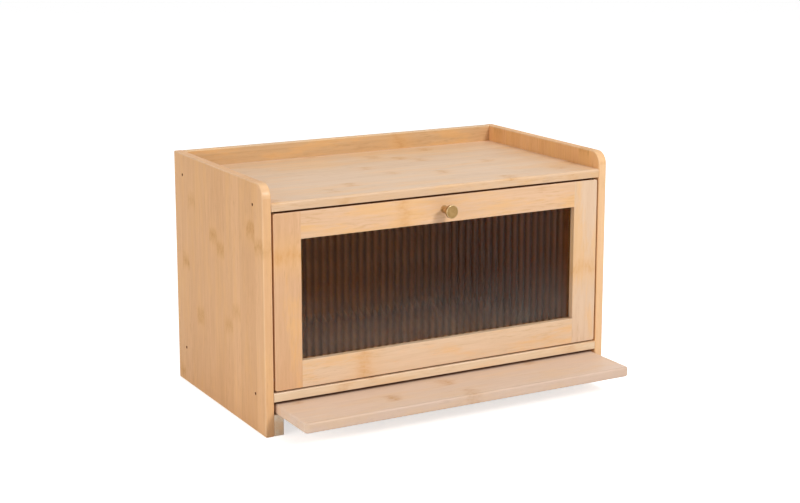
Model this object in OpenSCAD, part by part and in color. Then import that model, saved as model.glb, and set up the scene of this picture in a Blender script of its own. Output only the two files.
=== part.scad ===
// Bread box with a fall-front window door and a pull-out cutting board
//
// Five plain boards make the cabinet. The side panels run past the top board and,
// with the back board, form a low gallery round it. Two runners low on the side
// panels carry a cutting board that slides in a slot under the base board.
// The door is a frame of two stiles and two rails round a reeded pane. It turns
// on two pins near its lower corners and falls forward until it lies level.
//
// Millimetres. +X is to the right, +Y to the back and +Z up. The origin is on the
// counter, at the middle of the footprint with the cutting board drawn out.

/* [Cabinet] */
// Width over the side panels
cabinet_w = 400; // [340:1:480]
// Depth of the side panels
cabinet_d = 228.5; // [190:0.5:280]
// Height of the side panels
cabinet_h = 250.5; // [225:0.5:300]
// Thickness of the side panels
side_t = 9.5; // [9:0.5:14]
// Thickness of the top board
top_t = 9; // [8:0.5:14]
// Thickness of the base board
base_t = 9; // [8:0.5:14]
// Thickness of the back board
back_t = 9; // [8:0.5:14]
// How far the gallery stands above the top board
gallery_h = 18; // [8:0.5:30]
// Radius of the side panels' upper front corner
corner_r = 13.5; // [8:0.5:30]
// How far the back board stops above the counter
back_foot_gap = 10; // [2:0.5:18]
// Eased arris along the edges of the boards
arris = 1; // [0.4:0.1:1.2]

/* [Vents] */
// Diameter of a vent hole in the back board
vent_d = 10; // [6:0.5:14]
// Distance between two vent holes
vent_pitch = 30; // [20:1:40]
// Number of vent holes
vent_count = 5; // [3:1:7]
// How far the vent holes lie below the top board
vent_drop = 35; // [30:1:60]

/* [Cutting board] */
// Width of a runner
runner_w = 10; // [8:0.5:16]
// Height of a runner, and of the board's underside
runner_h = 21.5; // [19:0.5:30]
// Thickness of the cutting board
board_t = 10.5; // [8:0.5:14]
// Free height above the cutting board in its slot
board_headroom = 2.4; // [0.5:0.1:4]
// Gap between the cutting board and each side panel
board_side_gap = 2.5; // [0.5:0.1:3.5]
// Gap behind the cutting board when it is pushed home
board_back_gap = 0.5; // [0.5:0.1:3]
// Radius of the cutting board's corners
board_corner_r = 4; // [2:0.5:12]
// How far the cutting board is drawn out
board_out = 65; // [0:1:120]

/* [Door frame] */
// Thickness of the door
door_t = 13; // [12:0.5:15]
// Gap between the door and each side panel
door_side_gap = 1.8; // [1:0.1:3]
// Gap above the door
door_top_gap = 2; // [1:0.1:4]
// Gap below the door
door_bottom_gap = 1.8; // [1.8:0.1:4]
// Width of a stile
stile_w = 29; // [22:0.5:40]
// Height of a rail
rail_w = 27.2; // [26:0.2:40]
// Radius of the door's four corners
door_corner_r = 2; // [1:0.5:5]
// Diameter of a dowel in the frame's joints
dowel_d = 5; // [4:0.5:5]
// Length of a dowel
dowel_l = 24; // [16:1:30]
// Distance of the outer dowel from the door's edge
dowel_edge = 6; // [5:0.5:7]
// Distance between the two dowels of a joint
dowel_pitch = 9; // [8:0.5:10]

/* [Window] */
// Wood in front of the pane
window_reveal = 6.5; // [5:0.5:7]
// How far the rebate reaches into the frame
rebate_w = 6; // [5:0.5:8]
// Thickness of the pane over its ribs
pane_t = 3; // [2.5:0.1:4]
// Height of a rib
rib_h = 0.8; // [0.3:0.1:1.2]
// Distance between two ribs
rib_pitch = 8.2; // [6:0.1:12]
// Free space round the pane in its rebate
pane_gap = 0.5; // [0.2:0.1:1]
// Free space before and behind the pane
pane_play = 0.1; // [0.05:0.05:0.2]

/* [Pivots and stops] */
// Height of the pivot above the door's lower edge
pivot_rise = 11; // [11:0.5:14]
// Diameter of a pivot pin
pivot_d = 5; // [3:0.5:6]
// Length of a pivot pin inside the stile
pivot_in_door = 14; // [8:1:20]
// Length of a pivot pin inside the side panel
pivot_in_side = 6; // [4:0.5:7]
// Diameter of a pin that stops the open door
stop_pin_d = 3; // [2:0.5:4]
// How far a stop pin reaches behind the stile
stop_pin_reach = 5; // [3:0.5:10]
// Length of a stop pin inside the side panel
stop_pin_in_side = 6; // [4:0.5:7]
// Gap between a stop pin and the closed door
stop_pin_gap = 0.6; // [0.4:0.1:1]
// Height of the strip that the closed door stops at
strip_h = 15; // [14:0.5:20]
// Thickness of that strip
strip_t = 12; // [8:0.5:16]
// Gap between the closed door and the strip
close_gap = 0.2; // [0.1:0.05:0.5]
// Diameter of a catch magnet and of its strike disc
magnet_d = 10; // [6:0.5:10]
// Thickness of a catch magnet
magnet_t = 4; // [2:0.5:6]
// Thickness of a strike disc
strike_t = 1.5; // [1.5:0.1:2.5]
// Distance of a magnet from the end of the top rail
magnet_inset = 19.7; // [17:0.1:100]
// Distance of a magnet below the door's upper edge
magnet_drop = 6.5; // [6:0.5:7]

/* [Knob] */
// Diameter of the knob's disc
knob_d = 13.5; // [11:0.5:24]
// How far the knob stands off the door
knob_reach = 16.5; // [12:0.5:17]
// Thickness of the knob's disc
knob_disc_t = 3; // [2:0.5:7]
// Diameter of the knob's neck at the foot
knob_neck_d = 6.5; // [6:0.5:9]
// How far the foot stands out round the neck
knob_foot_lip = 0.5; // [0.25:0.25:2]
// Thickness of the knob's foot
knob_foot_t = 1.5; // [1:0.5:3]
// Diameter of the knob's screw
knob_screw_d = 4; // [3:0.5:4]
// Length of the screw inside the knob
knob_screw_in = 8; // [5:0.5:9]
// Diameter of the screw's head
knob_head_d = 8; // [6.5:0.5:9]
// Height of the screw's head
knob_head_t = 2.4; // [1.6:0.2:3]

/* [Screws and nails] */
// Diameter of a nail
nail_d = 1.6; // [1.2:0.1:2]
// Length of a nail
nail_l = 25; // [20:1:30]
// Diameter of a nail's head
nail_head_d = 3; // [2.4:0.1:3.4]
// Thickness of a nail's head
nail_head_t = 1; // [0.6:0.1:1.4]
// How far a nail's head is set below the wood
nail_sink = 0.8; // [0.2:0.1:1.5]
// Distance of the nails from the front and back edges
nail_inset = 23; // [14:1:40]
// Diameter of a wood screw
screw_d = 3; // [2.5:0.5:3.5]
// Diameter of a wood screw's head
screw_head_d = 6; // [5:0.5:7]
// How far a wood screw goes into the second board
screw_bite = 6; // [4:0.5:7]
// Distance of the outer screws from the ends of a strip or runner
screw_inset = 30; // [20:1:50]

/* [Fits] */
// Radial clearance of a pin that turns
turn_fit = 0.08; // [0.02:0.01:0.1]
// Radial clearance of a pin, dowel or magnet that is fixed
fixed_fit = 0.03; // [0.01:0.01:0.1]
// Spare depth at the bottom of a blind hole
end_fit = 0.3; // [0.1:0.1:0.6]

/* [Hidden] */
$fn = 32;

bamboo = [0.90, 0.74, 0.56];
bamboo_pale = [0.93, 0.79, 0.62];
bamboo_board = [0.87, 0.74, 0.63];
steel = [0.66, 0.67, 0.68];
brass = [0.76, 0.65, 0.42];

// Cabinet
inner_w = cabinet_w - 2 * side_t;
inner_d = cabinet_d - back_t;
front_y = board_out / 2 - cabinet_d / 2;
top_z = cabinet_h - gallery_h;
ceiling_z = top_z - top_t;

// Cutting board
board_w = inner_w - 2 * board_side_gap;
board_l = inner_d - board_back_gap;
base_z = runner_h + board_t + board_headroom;
floor_z = base_z + base_t;

// Door
door_w = inner_w - 2 * door_side_gap;
door_z = floor_z + door_bottom_gap;
door_h = ceiling_z - door_top_gap - door_z;
window_w = door_w - 2 * stile_w;
window_h = door_h - 2 * rail_w;
window_z = door_z + rail_w;
rebate_t = door_t - window_reveal;
knob_z = door_z + door_h - rail_w / 2;

// Pane and beads
pane_w = window_w + 2 * rebate_w - 2 * pane_gap;
pane_h = window_h + 2 * rebate_w - 2 * pane_gap;
pane_y = window_reveal + pane_play;
rib_r = (pow(rib_pitch / 2, 2) + pow(rib_h, 2)) / (2 * rib_h);
rib_side = ceil(pane_w / rib_pitch / 2);
bead_y = pane_y + pane_t + pane_play;
bead_t = door_t - bead_y;

// Pivots and stops
pivot_y = door_t / 2;
pivot_z = door_z + pivot_rise;
stop_pin_y = door_t + stop_pin_gap + stop_pin_d / 2;
stop_pin_z = pivot_z + door_t / 2 + stop_pin_d / 2 + 0.1;
strip_y = door_t + close_gap;
strip_z = ceiling_z - strip_h;
magnet_x = window_w / 2 - magnet_inset;
magnet_z = door_z + door_h - magnet_drop;

// Moves everything from the cabinet's front plane to the origin
module place() translate([0, front_y, 0]) children();

// Both sides of the middle plane
module both_sides() {
    children();
    mirror([1, 0, 0]) children();
}

// A flat outline drawn along one of the three axes
module along_x(l) rotate([90, 0, 90]) linear_extrude(l) children();
module along_y(l) translate([0, l, 0]) rotate([90, 0, 0]) linear_extrude(l) children();

// Rods that start at the origin
module rod_x(d, l) rotate([0, 90, 0]) cylinder(d = d, h = l);
module rod_y(d, l) rotate([-90, 0, 0]) cylinder(d = d, h = l);

// Rectangle with an arris on its two upper corners
module capped(w, h, e) polygon([[0, 0], [w, 0], [w, h - e], [w - e, h], [e, h], [0, h - e]]);

// Rectangle with an arris on all four corners
module eased(w, h, e)
    polygon([[e, 0], [w - e, 0], [w, e], [w, h - e], [w - e, h], [e, h], [0, h - e], [0, e]]);

// Rectangle with four round corners
module rounded(w, h, r) {
    translate([r, 0]) square([w - 2 * r, h]);
    translate([0, r]) square([w, h - 2 * r]);
    for (x = [r, w - r], y = [r, h - r]) translate([x, y]) circle(r);
}

// Disc with an arris round both rims
module eased_disc(r, t, e)
    rotate_extrude($fn = 64) polygon([[0, 0], [r - e, 0], [r, e], [r, t - e], [r - e, t], [0, t]]);

// Nail and screw shapes: the head lies at the origin and the point looks down
module nail() {
    translate([0, 0, -nail_sink - nail_head_t]) cylinder(d = nail_head_d, h = nail_head_t);
    translate([0, 0, -nail_sink - nail_l]) cylinder(d = nail_d, h = nail_l);
}

module nail_hole() {
    translate([0, 0, -nail_sink - nail_head_t])
        cylinder(d = nail_head_d + 2 * fixed_fit, h = nail_head_t + nail_sink + 1);
    translate([0, 0, -nail_sink - nail_l - end_fit])
        cylinder(d = nail_d + 2 * fixed_fit, h = nail_l + end_fit);
}

module screw_shape(l, fit, spare) {
    head_h = (screw_head_d - screw_d) / 2;
    translate([0, 0, -head_h])
        cylinder(d1 = screw_d + 2 * fit, d2 = screw_head_d + 2 * fit, h = head_h);
    translate([0, 0, -l - spare]) cylinder(d = screw_d + 2 * fit, h = l + spare);
}

module screw(l) screw_shape(l, 0, 0);
module screw_hole(l) screw_shape(l, fixed_fit, end_fit);

// Places of the fasteners
module at_side_nails()
    both_sides() for (y = [nail_inset, cabinet_d - nail_inset], z = [base_z + base_t / 2, top_z - top_t / 2])
        translate([cabinet_w / 2, min(y, inner_d - nail_head_d), z]) rotate([0, 90, 0]) children();

module at_back_nails()
    for (x = [-1, 0, 1], z = [base_z + base_t / 2, top_z - top_t / 2])
        translate([x * (inner_w / 2 - nail_inset), cabinet_d, z]) rotate([-90, 0, 0]) children();

module at_runner_screws()
    both_sides() for (y = [screw_inset, inner_d / 2, inner_d - screw_inset])
        translate([inner_w / 2 - runner_w, y, runner_h / 2]) rotate([0, -90, 0]) children();

module at_strip_screws()
    for (x = [-1, 0, 1])
        translate([x * (inner_w / 2 - screw_inset / 2), strip_y + strip_t / 2, strip_z])
            rotate([180, 0, 0]) children();

module at_catches()
    both_sides() translate([magnet_x, 0, magnet_z]) children();

module at_dowels()
    both_sides() for (z = [dowel_edge, dowel_edge + dowel_pitch])
        for (h = [door_z + z, door_z + door_h - z])
            translate([window_w / 2 - dowel_l / 2, door_t / 2, h]) children();

// Cabinet boards
module side_blank() {
    union() {
        translate([0, corner_r, 0]) along_y(cabinet_d - corner_r) capped(side_t, cabinet_h, arris);
        translate([0, corner_r + arris, 0]) mirror([0, 1, 0])
            linear_extrude(cabinet_h - corner_r) capped(side_t, corner_r + arris, arris);
        translate([0, corner_r, cabinet_h - corner_r]) rotate([0, 90, 0])
            eased_disc(corner_r, side_t, arris);
    }
}

module side_panel() {
    difference() {
        translate([inner_w / 2, 0, 0]) side_blank();
        at_side_nails() nail_hole();
        at_runner_screws() screw_hole(runner_w + screw_bite);
        translate([inner_w / 2 - 1, pivot_y, pivot_z])
            rod_x(pivot_d + 2 * turn_fit, pivot_in_side + end_fit + 1);
        translate([inner_w / 2 - 1, stop_pin_y, stop_pin_z])
            rod_x(stop_pin_d + 2 * fixed_fit, stop_pin_in_side + end_fit + 1);
    }
}

module left_side_panel() color(bamboo) place() mirror([1, 0, 0]) side_panel();

module right_side_panel() color(bamboo) place() side_panel();

module top_board() {
    color(bamboo_pale) place() difference() {
        translate([-inner_w / 2, 0, ceiling_z]) along_x(inner_w)
            translate([inner_d, 0]) rotate(90) capped(top_t, inner_d, arris);
        at_side_nails() nail_hole();
        at_back_nails() nail_hole();
        at_strip_screws() screw_hole(strip_h + screw_bite);
    }
}

module base_board() {
    color(bamboo_pale) place() difference() {
        translate([-inner_w / 2, 0, base_z]) along_x(inner_w)
            translate([inner_d, 0]) rotate(90) capped(base_t, inner_d, arris);
        at_side_nails() nail_hole();
        at_back_nails() nail_hole();
    }
}

module back_board() {
    color(bamboo) place() difference() {
        translate([-inner_w / 2, inner_d, back_foot_gap]) along_x(inner_w)
            capped(back_t, cabinet_h - back_foot_gap, arris);
        at_back_nails() nail_hole();
        for (i = [0 : vent_count - 1])
            translate([(i - (vent_count - 1) / 2) * vent_pitch, inner_d - 1, ceiling_z - vent_drop])
                rod_y(vent_d, back_t + 2);
    }
}

// Runners and cutting board
module runner() {
    difference() {
        translate([inner_w / 2 - runner_w, 0, 0]) along_y(inner_d) eased(runner_w, runner_h, arris);
        at_runner_screws() screw_hole(runner_w + screw_bite);
    }
}

module left_runner() color(bamboo) place() mirror([1, 0, 0]) runner();

module right_runner() color(bamboo) place() runner();

module cutting_board() {
    r = board_corner_r;
    color(bamboo_board) place() translate([-board_w / 2, -board_out, runner_h]) union() {
        translate([r, 0, 0]) along_x(board_w - 2 * r) eased(board_l, board_t, arris);
        translate([0, r, 0]) along_y(board_l - 2 * r) eased(board_w, board_t, arris);
        for (x = [r, board_w - r], y = [r, board_l - r])
            translate([x, y, 0]) eased_disc(r, board_t, arris);
    }
}

// Stops and magnets inside the cabinet
module door_stop_strip() {
    color(bamboo_pale) place() difference() {
        translate([-inner_w / 2, strip_y, strip_z]) along_x(inner_w) square([strip_t, strip_h]);
        at_strip_screws() screw_hole(strip_h + screw_bite);
        at_catches() translate([0, strip_y - 1, 0])
            rod_y(magnet_d + 2 * fixed_fit, magnet_t + end_fit + 1);
    }
}

module catch_magnets() {
    color(steel) place() at_catches() translate([0, strip_y, 0]) rod_y(magnet_d, magnet_t);
}

module door_stop_pins() {
    reach = door_side_gap + stop_pin_reach;
    color(steel) place() both_sides() translate([inner_w / 2 - reach, stop_pin_y, stop_pin_z])
        rod_x(stop_pin_d, reach + stop_pin_in_side);
}

// Nails and screws of the cabinet
module side_nails() color(steel) place() at_side_nails() nail();

module back_nails() color(steel) place() at_back_nails() nail();

module runner_screws() color(steel) place() at_runner_screws() screw(runner_w + screw_bite);

module strip_screws() color(steel) place() at_strip_screws() screw(strip_h + screw_bite);

// Door: one blank, cut into two stiles and two rails
module door_blank() {
    intersection() {
        translate([-door_w / 2, 0, door_z]) along_y(door_t) rounded(door_w, door_h, door_corner_r);
        translate([-door_w / 2, 0, door_z]) along_x(door_w) eased(door_t, door_h, arris);
        translate([-door_w / 2, 0, door_z]) linear_extrude(door_h) eased(door_w, door_t, arris);
    }
}

module rebate() {
    translate([-window_w / 2 - rebate_w, window_reveal, window_z - rebate_w])
        cube([window_w + 2 * rebate_w, rebate_t + 1, window_h + 2 * rebate_w]);
}

module dowel_holes()
    at_dowels() translate([-end_fit, 0, 0]) rod_x(dowel_d + 2 * fixed_fit, dowel_l + 2 * end_fit);

module pivot_hole()
    translate([door_w / 2 - pivot_in_door - end_fit, pivot_y, pivot_z])
        rod_x(pivot_d + 2 * fixed_fit, pivot_in_door + end_fit + 1);

module stile() {
    difference() {
        intersection() {
            door_blank();
            translate([window_w / 2, -1, door_z - 1]) cube([stile_w + 1, door_t + 2, door_h + 2]);
        }
        rebate();
        dowel_holes();
        pivot_hole();
    }
}

module left_stile() color(bamboo_pale) place() mirror([1, 0, 0]) stile();

module right_stile() color(bamboo_pale) place() stile();

module rail(z) {
    difference() {
        intersection() {
            door_blank();
            translate([-window_w / 2, -1, z]) cube([window_w, door_t + 2, rail_w]);
        }
        rebate();
        dowel_holes();
        children();
    }
}

module top_rail() {
    color(bamboo_pale) place() rail(window_z + window_h) {
        translate([0, -1, knob_z]) rod_y(knob_screw_d + 2 * fixed_fit, door_t + 2);
        translate([0, door_t - knob_head_t, knob_z]) rod_y(knob_head_d + 2 * turn_fit, knob_head_t + 1);
        at_catches() {
            translate([0, door_t - strike_t, 0]) rod_y(magnet_d + 2 * fixed_fit, strike_t + 1);
            translate([0, door_t, 0]) rotate([-90, 0, 0]) screw_hole(door_t - 4);
        }
    }
}

module bottom_rail() color(bamboo_pale) place() rail(door_z);

module frame_dowels() color(bamboo_board) place() at_dowels() rod_x(dowel_d, dowel_l);

// Pane with a row of round ribs on its front
module reeded_pane() {
    color([0.75, 0.78, 0.78, 0.5]) place()
        translate([0, pane_y, window_z - rebate_w + pane_gap]) linear_extrude(pane_h)
            intersection() {
                translate([-pane_w / 2, 0]) square([pane_w, pane_t]);
                for (i = [-rib_side : rib_side]) translate([i * rib_pitch, 0]) intersection() {
                    translate([0, rib_r]) circle(rib_r, $fn = 96);
                    translate([-rib_pitch / 2, 0]) square([rib_pitch, pane_t]);
                }
            }
}

// Beads that hold the pane in its rebate, mitre-free: the short ones stand between the long ones
module bead(w, h) {
    translate([0, bead_y, 0]) cube([w, bead_t, h]);
}

module top_bead() {
    color(bamboo) place() translate([-window_w / 2 - rebate_w, 0, window_z + window_h])
        bead(window_w + 2 * rebate_w, rebate_w);
}

module bottom_bead() {
    color(bamboo) place() translate([-window_w / 2 - rebate_w, 0, window_z - rebate_w])
        bead(window_w + 2 * rebate_w, rebate_w);
}

module side_bead() translate([window_w / 2, 0, window_z]) bead(rebate_w, window_h);

module left_bead() color(bamboo) place() mirror([1, 0, 0]) side_bead();

module right_bead() color(bamboo) place() side_bead();

// Knob: a foot, a neck that flares out like a trumpet and a flat disc, turned in one piece
module door_knob() {
    neck_r = knob_neck_d / 2;
    neck_l = knob_reach - knob_disc_t - knob_foot_t;
    flare = knob_d / 2 - arris - neck_r;
    hollow_r = (pow(neck_l, 2) + pow(flare, 2)) / (2 * flare);
    color(brass) place() translate([0, 0, knob_z]) rotate([90, 0, 0]) difference() {
        rotate_extrude($fn = 64) {
            square([neck_r + knob_foot_lip, knob_foot_t]);
            difference() {
                square([neck_r + flare, knob_reach - knob_disc_t]);
                translate([neck_r + hollow_r, knob_foot_t]) circle(hollow_r, $fn = 96);
            }
            translate([0, knob_reach - knob_disc_t]) square([knob_d / 2 - arris / 2, knob_disc_t]);
            translate([0, knob_reach - knob_disc_t + arris / 2])
                square([knob_d / 2, knob_disc_t - arris]);
        }
        translate([0, 0, -1]) cylinder(d = knob_screw_d + 2 * fixed_fit, h = knob_screw_in + end_fit + 1);
    }
}

module knob_screw() {
    color(steel) place() translate([0, 0, knob_z]) {
        translate([0, -knob_screw_in, 0]) rod_y(knob_screw_d, knob_screw_in + door_t);
        translate([0, door_t - knob_head_t, 0]) rod_y(knob_head_d, knob_head_t);
    }
}

// Steel discs that meet the magnets
module strike_discs() {
    color(steel) place() at_catches() difference() {
        translate([0, door_t - strike_t, 0]) rod_y(magnet_d, strike_t);
        translate([0, door_t, 0]) rotate([-90, 0, 0]) screw_hole(door_t - 4);
    }
}

module strike_screws() {
    color(steel) place() at_catches() translate([0, door_t, 0]) rotate([-90, 0, 0]) screw(door_t - 4);
}

module pivot_pin() {
    translate([door_w / 2 - pivot_in_door, pivot_y, pivot_z])
        rod_x(pivot_d, pivot_in_door + door_side_gap + pivot_in_side);
}

module left_pivot_pin() color(steel) place() mirror([1, 0, 0]) pivot_pin();

module right_pivot_pin() color(steel) place() pivot_pin();

left_side_panel();
right_side_panel();
top_board();
base_board();
back_board();
left_runner();
right_runner();
door_stop_strip();
catch_magnets();
door_stop_pins();
side_nails();
back_nails();
runner_screws();
strip_screws();
left_stile();
right_stile();
top_rail();
bottom_rail();
frame_dowels();
reeded_pane();
top_bead();
bottom_bead();
left_bead();
right_bead();
door_knob();
knob_screw();
strike_discs();
strike_screws();
left_pivot_pin();
right_pivot_pin();
cutting_board();
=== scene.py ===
# %% [markdown]
# # A bamboo bread box with a window door
#
# This lesson dresses a bread box that was first built as solids. The solids say where every
# board, pin and screw is. Here each one gets softly worn edges, a grain that follows the way its
# board was cut, turned brass, ribbed glass and steel screws.
#
# Lengths are in metres. +X is to the right, +Y to the back and +Z up.

import math

import bmesh
import bpy
from bmesh.types import BMEdge, BMFace, BMVert
from mathutils import Matrix, Vector


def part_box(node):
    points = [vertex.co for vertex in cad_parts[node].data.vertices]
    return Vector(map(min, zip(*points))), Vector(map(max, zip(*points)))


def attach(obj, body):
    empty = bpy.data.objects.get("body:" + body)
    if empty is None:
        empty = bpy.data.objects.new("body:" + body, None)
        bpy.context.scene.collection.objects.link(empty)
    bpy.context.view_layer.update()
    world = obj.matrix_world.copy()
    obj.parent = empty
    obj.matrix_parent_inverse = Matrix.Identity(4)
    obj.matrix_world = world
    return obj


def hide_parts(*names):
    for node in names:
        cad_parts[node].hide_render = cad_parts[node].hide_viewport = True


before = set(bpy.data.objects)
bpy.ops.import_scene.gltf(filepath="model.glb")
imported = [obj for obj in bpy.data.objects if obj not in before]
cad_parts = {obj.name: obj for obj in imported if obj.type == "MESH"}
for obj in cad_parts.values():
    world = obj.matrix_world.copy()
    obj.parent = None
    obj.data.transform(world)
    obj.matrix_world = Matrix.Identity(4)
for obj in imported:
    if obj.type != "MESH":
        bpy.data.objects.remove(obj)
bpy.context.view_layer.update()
MM = 0.001
AXES = {"x": 0, "y": 1, "z": 2}

# %% [markdown]
# ## The camera
#
# The box is seen from its front left corner and a little from above, with a long lens from
# about a metre and a half. Such a lens keeps the boards nearly parallel, as a catalogue picture
# does. The lens is shifted a little, because the box stands low in the frame.

# %% Camera
CAMERA_PLACE = Vector((-0.8098, -1.4550, 0.5334))
CAMERA_TURN, CAMERA_TILT = 28.93, 11.06  # degrees to the right of +Y, and down

camera_data = bpy.data.cameras.new("camera")
camera_data.sensor_fit = "HORIZONTAL"
camera_data.sensor_width = 36
camera_data.lens = 72.6
camera_data.shift_y = -0.07
camera = bpy.data.objects.new("camera", camera_data)
camera.location = CAMERA_PLACE
camera.rotation_euler = (math.radians(90 - CAMERA_TILT), 0, -math.radians(CAMERA_TURN))
bpy.context.scene.collection.objects.link(camera)
bpy.context.scene.camera = camera
bpy.context.scene.view_settings.view_transform = "Standard"
print("camera:", round(camera_data.lens, 1), "mm lens at", [round(c, 3) for c in camera.location])

# %% [markdown]
# ## Building materials from nodes
#
# A material is a small network of nodes, its tree. These helpers put one node at a time in the
# tree that lies on the bench, and give back the socket that the next node reads. Whatever more
# than one material needs, such as the grain, goes into a node group that is made once.

# %% Helpers for nodes
SIGNS = {"+": "ADD", "-": "SUBTRACT", "*": "MULTIPLY", "/": "DIVIDE", "*+": "MULTIPLY_ADD"}


class bench:
    """Holds the node tree that is being worked on. The helpers add their nodes to it."""
    tree = None


def new_node(kind):
    """Adds a node. They are laid out in columns of six, so that the tree can be read."""
    made = bench.tree.nodes.new(kind)
    column, row = divmod(len(bench.tree.nodes), 6)
    made.location = (200 * column, -220 * row)
    return made


def link(source, socket):
    bench.tree.links.new(source, socket)


def fill(socket, value):
    """Links a socket where value is another socket, sets it where value is a number or colour."""
    if isinstance(value, bpy.types.NodeSocket):
        link(value, socket)
    elif value is not None:
        socket.default_value = value


def add(kind, *values, out=0, **settings):
    """Adds a node, fills its sockets in order and returns one of its outputs."""
    made = new_node("ShaderNode" + kind)
    for key, value in settings.items():
        setattr(made, key, value)
    for socket, value in zip(made.inputs, values):
        fill(socket, value)
    return made.outputs[out]


def calc(operation, *values):
    """Arithmetic. The sign *+ multiplies the first two values and adds the third."""
    return add("Math", *values, operation=SIGNS.get(operation, operation))


def add_shares(base, *layers):
    """Adds to a base a share of each pattern. The layers are pairs of pattern and share."""
    for pattern, share in layers:
        base = calc("*+", pattern, share, base)
    return base


def sway(noise, amount, middle):
    """A value that noise from 0 to 1 pushes up and down around its middle."""
    return calc("*+", calc("-", noise, 0.5), amount, middle)


def ramp_up(value, start, end):
    """0 at start, 1 at end and a smooth rise between them."""
    return add("MapRange", value, start, end, 0.0, 1.0, interpolation_type="SMOOTHSTEP")


def ramp_down(value, start, end):
    """1 at start, 0 at end and a smooth fall between them."""
    return calc("-", 1.0, ramp_up(value, start, end))


def mix(share, first, second):
    """Mixes two colours. The node's five sockets for numbers and vectors stay empty."""
    return add("Mix", share, *[None] * 5, first, second, out=2, data_type="RGBA")


def split(vector):
    """The x, y and z of a vector."""
    made = new_node("ShaderNodeSeparateXYZ")
    fill(made.inputs[0], vector)
    return made.outputs


def draw(number):
    """A lot from 0 to 1, always the same one for the same number."""
    return add("TexWhiteNoise", None, number, noise_dimensions="1D")


def speckle(vector, stretch, detail=3.0, roughness=0.55):
    """Noise with its own number of grains to the metre along each axis."""
    scaled = add("VectorMath", vector, stretch, operation="MULTIPLY")
    return add("TexNoise", scaled, None, 1.0, detail, roughness)


def face_mark(mark):
    """The number that the shaping of a piece wrote on its faces under this name."""
    return add("Attribute", out="Fac", attribute_name=mark)


print("node helpers are ready")

# %% Helpers for groups and materials
def new_group(name, takes, gives):
    """A node group with named sockets: its tree, what it is given, and its output node."""
    tree = bench.tree = bpy.data.node_groups.new(name, "ShaderNodeTree")
    for label, value in takes.items():
        kind = {float: "Float", tuple: "Color", type(None): "Vector"}[type(value)]
        made = tree.interface.new_socket(name=label, in_out="INPUT", socket_type="NodeSocket" + kind)
        if value is not None:
            made.default_value = value
    for label, kind in gives.items():
        tree.interface.new_socket(name=label, in_out="OUTPUT", socket_type="NodeSocket" + kind)
    given = tree.nodes.new("NodeGroupInput")
    result = tree.nodes.new("NodeGroupOutput")
    result.location.x = 2400
    return tree, given.outputs, result


def use_group(group, **values):
    """Places a group in a material. The names are the group's sockets with _ for a space."""
    made = new_node("ShaderNodeGroup")
    made.node_tree = group
    for label, value in values.items():
        fill(made.inputs[label.replace("_", " ")], value)
    return made.outputs


def new_material(name):
    """An empty material with one Principled shader."""
    made = bpy.data.materials.new(name)
    made.use_nodes = True
    bench.tree = made.node_tree
    return made, next(n for n in bench.tree.nodes if n.type == "BSDF_PRINCIPLED")


def set_plain(shader, **values):
    """Sets what is the same all over the surface, on the shader's own sockets."""
    for label, value in values.items():
        shader.inputs[label.replace("_", " ")].default_value = value


def wire_up(shader, pattern, strength, distance):
    """Feeds a group's colour, roughness and height to the shader, the height as a bump."""
    bump = new_node("ShaderNodeBump")
    bump.inputs["Strength"].default_value = strength
    bump.inputs["Distance"].default_value = distance
    link(pattern["Color"], shader.inputs["Base Color"])
    link(pattern["Roughness"], shader.inputs["Roughness"])
    link(pattern["Height"], bump.inputs["Height"])
    link(bump.outputs["Normal"], shader.inputs["Normal"])


print("group and material helpers are ready")

# %% [markdown]
# ## The grain of laminated bamboo
#
# The boards are glued up from strips about 19 mm wide. Each strip has its own tone, fine fibres
# run along it, and every stalk had knuckles, which show as darker, broken smudges that stop at
# the edge of their strip. A photograph of bamboo would repeat and would need laying out on every
# board. A pattern that is worked out from the place of a point goes through the wood as real
# grain does, so it also turns the corner at an arris and shows dots on an end.
#
# The group reads a vector whose X runs along the fibres, Y across the strips and Z through the
# board. It gives back a colour, a roughness and a height for the bump.

# %% Node group for the grain
SANDED_WOOD = (0.92, 0.70, 0.47, 1.0)
SHADED_WOOD = (0.17, 0.038, 0.003, 1.0)


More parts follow.
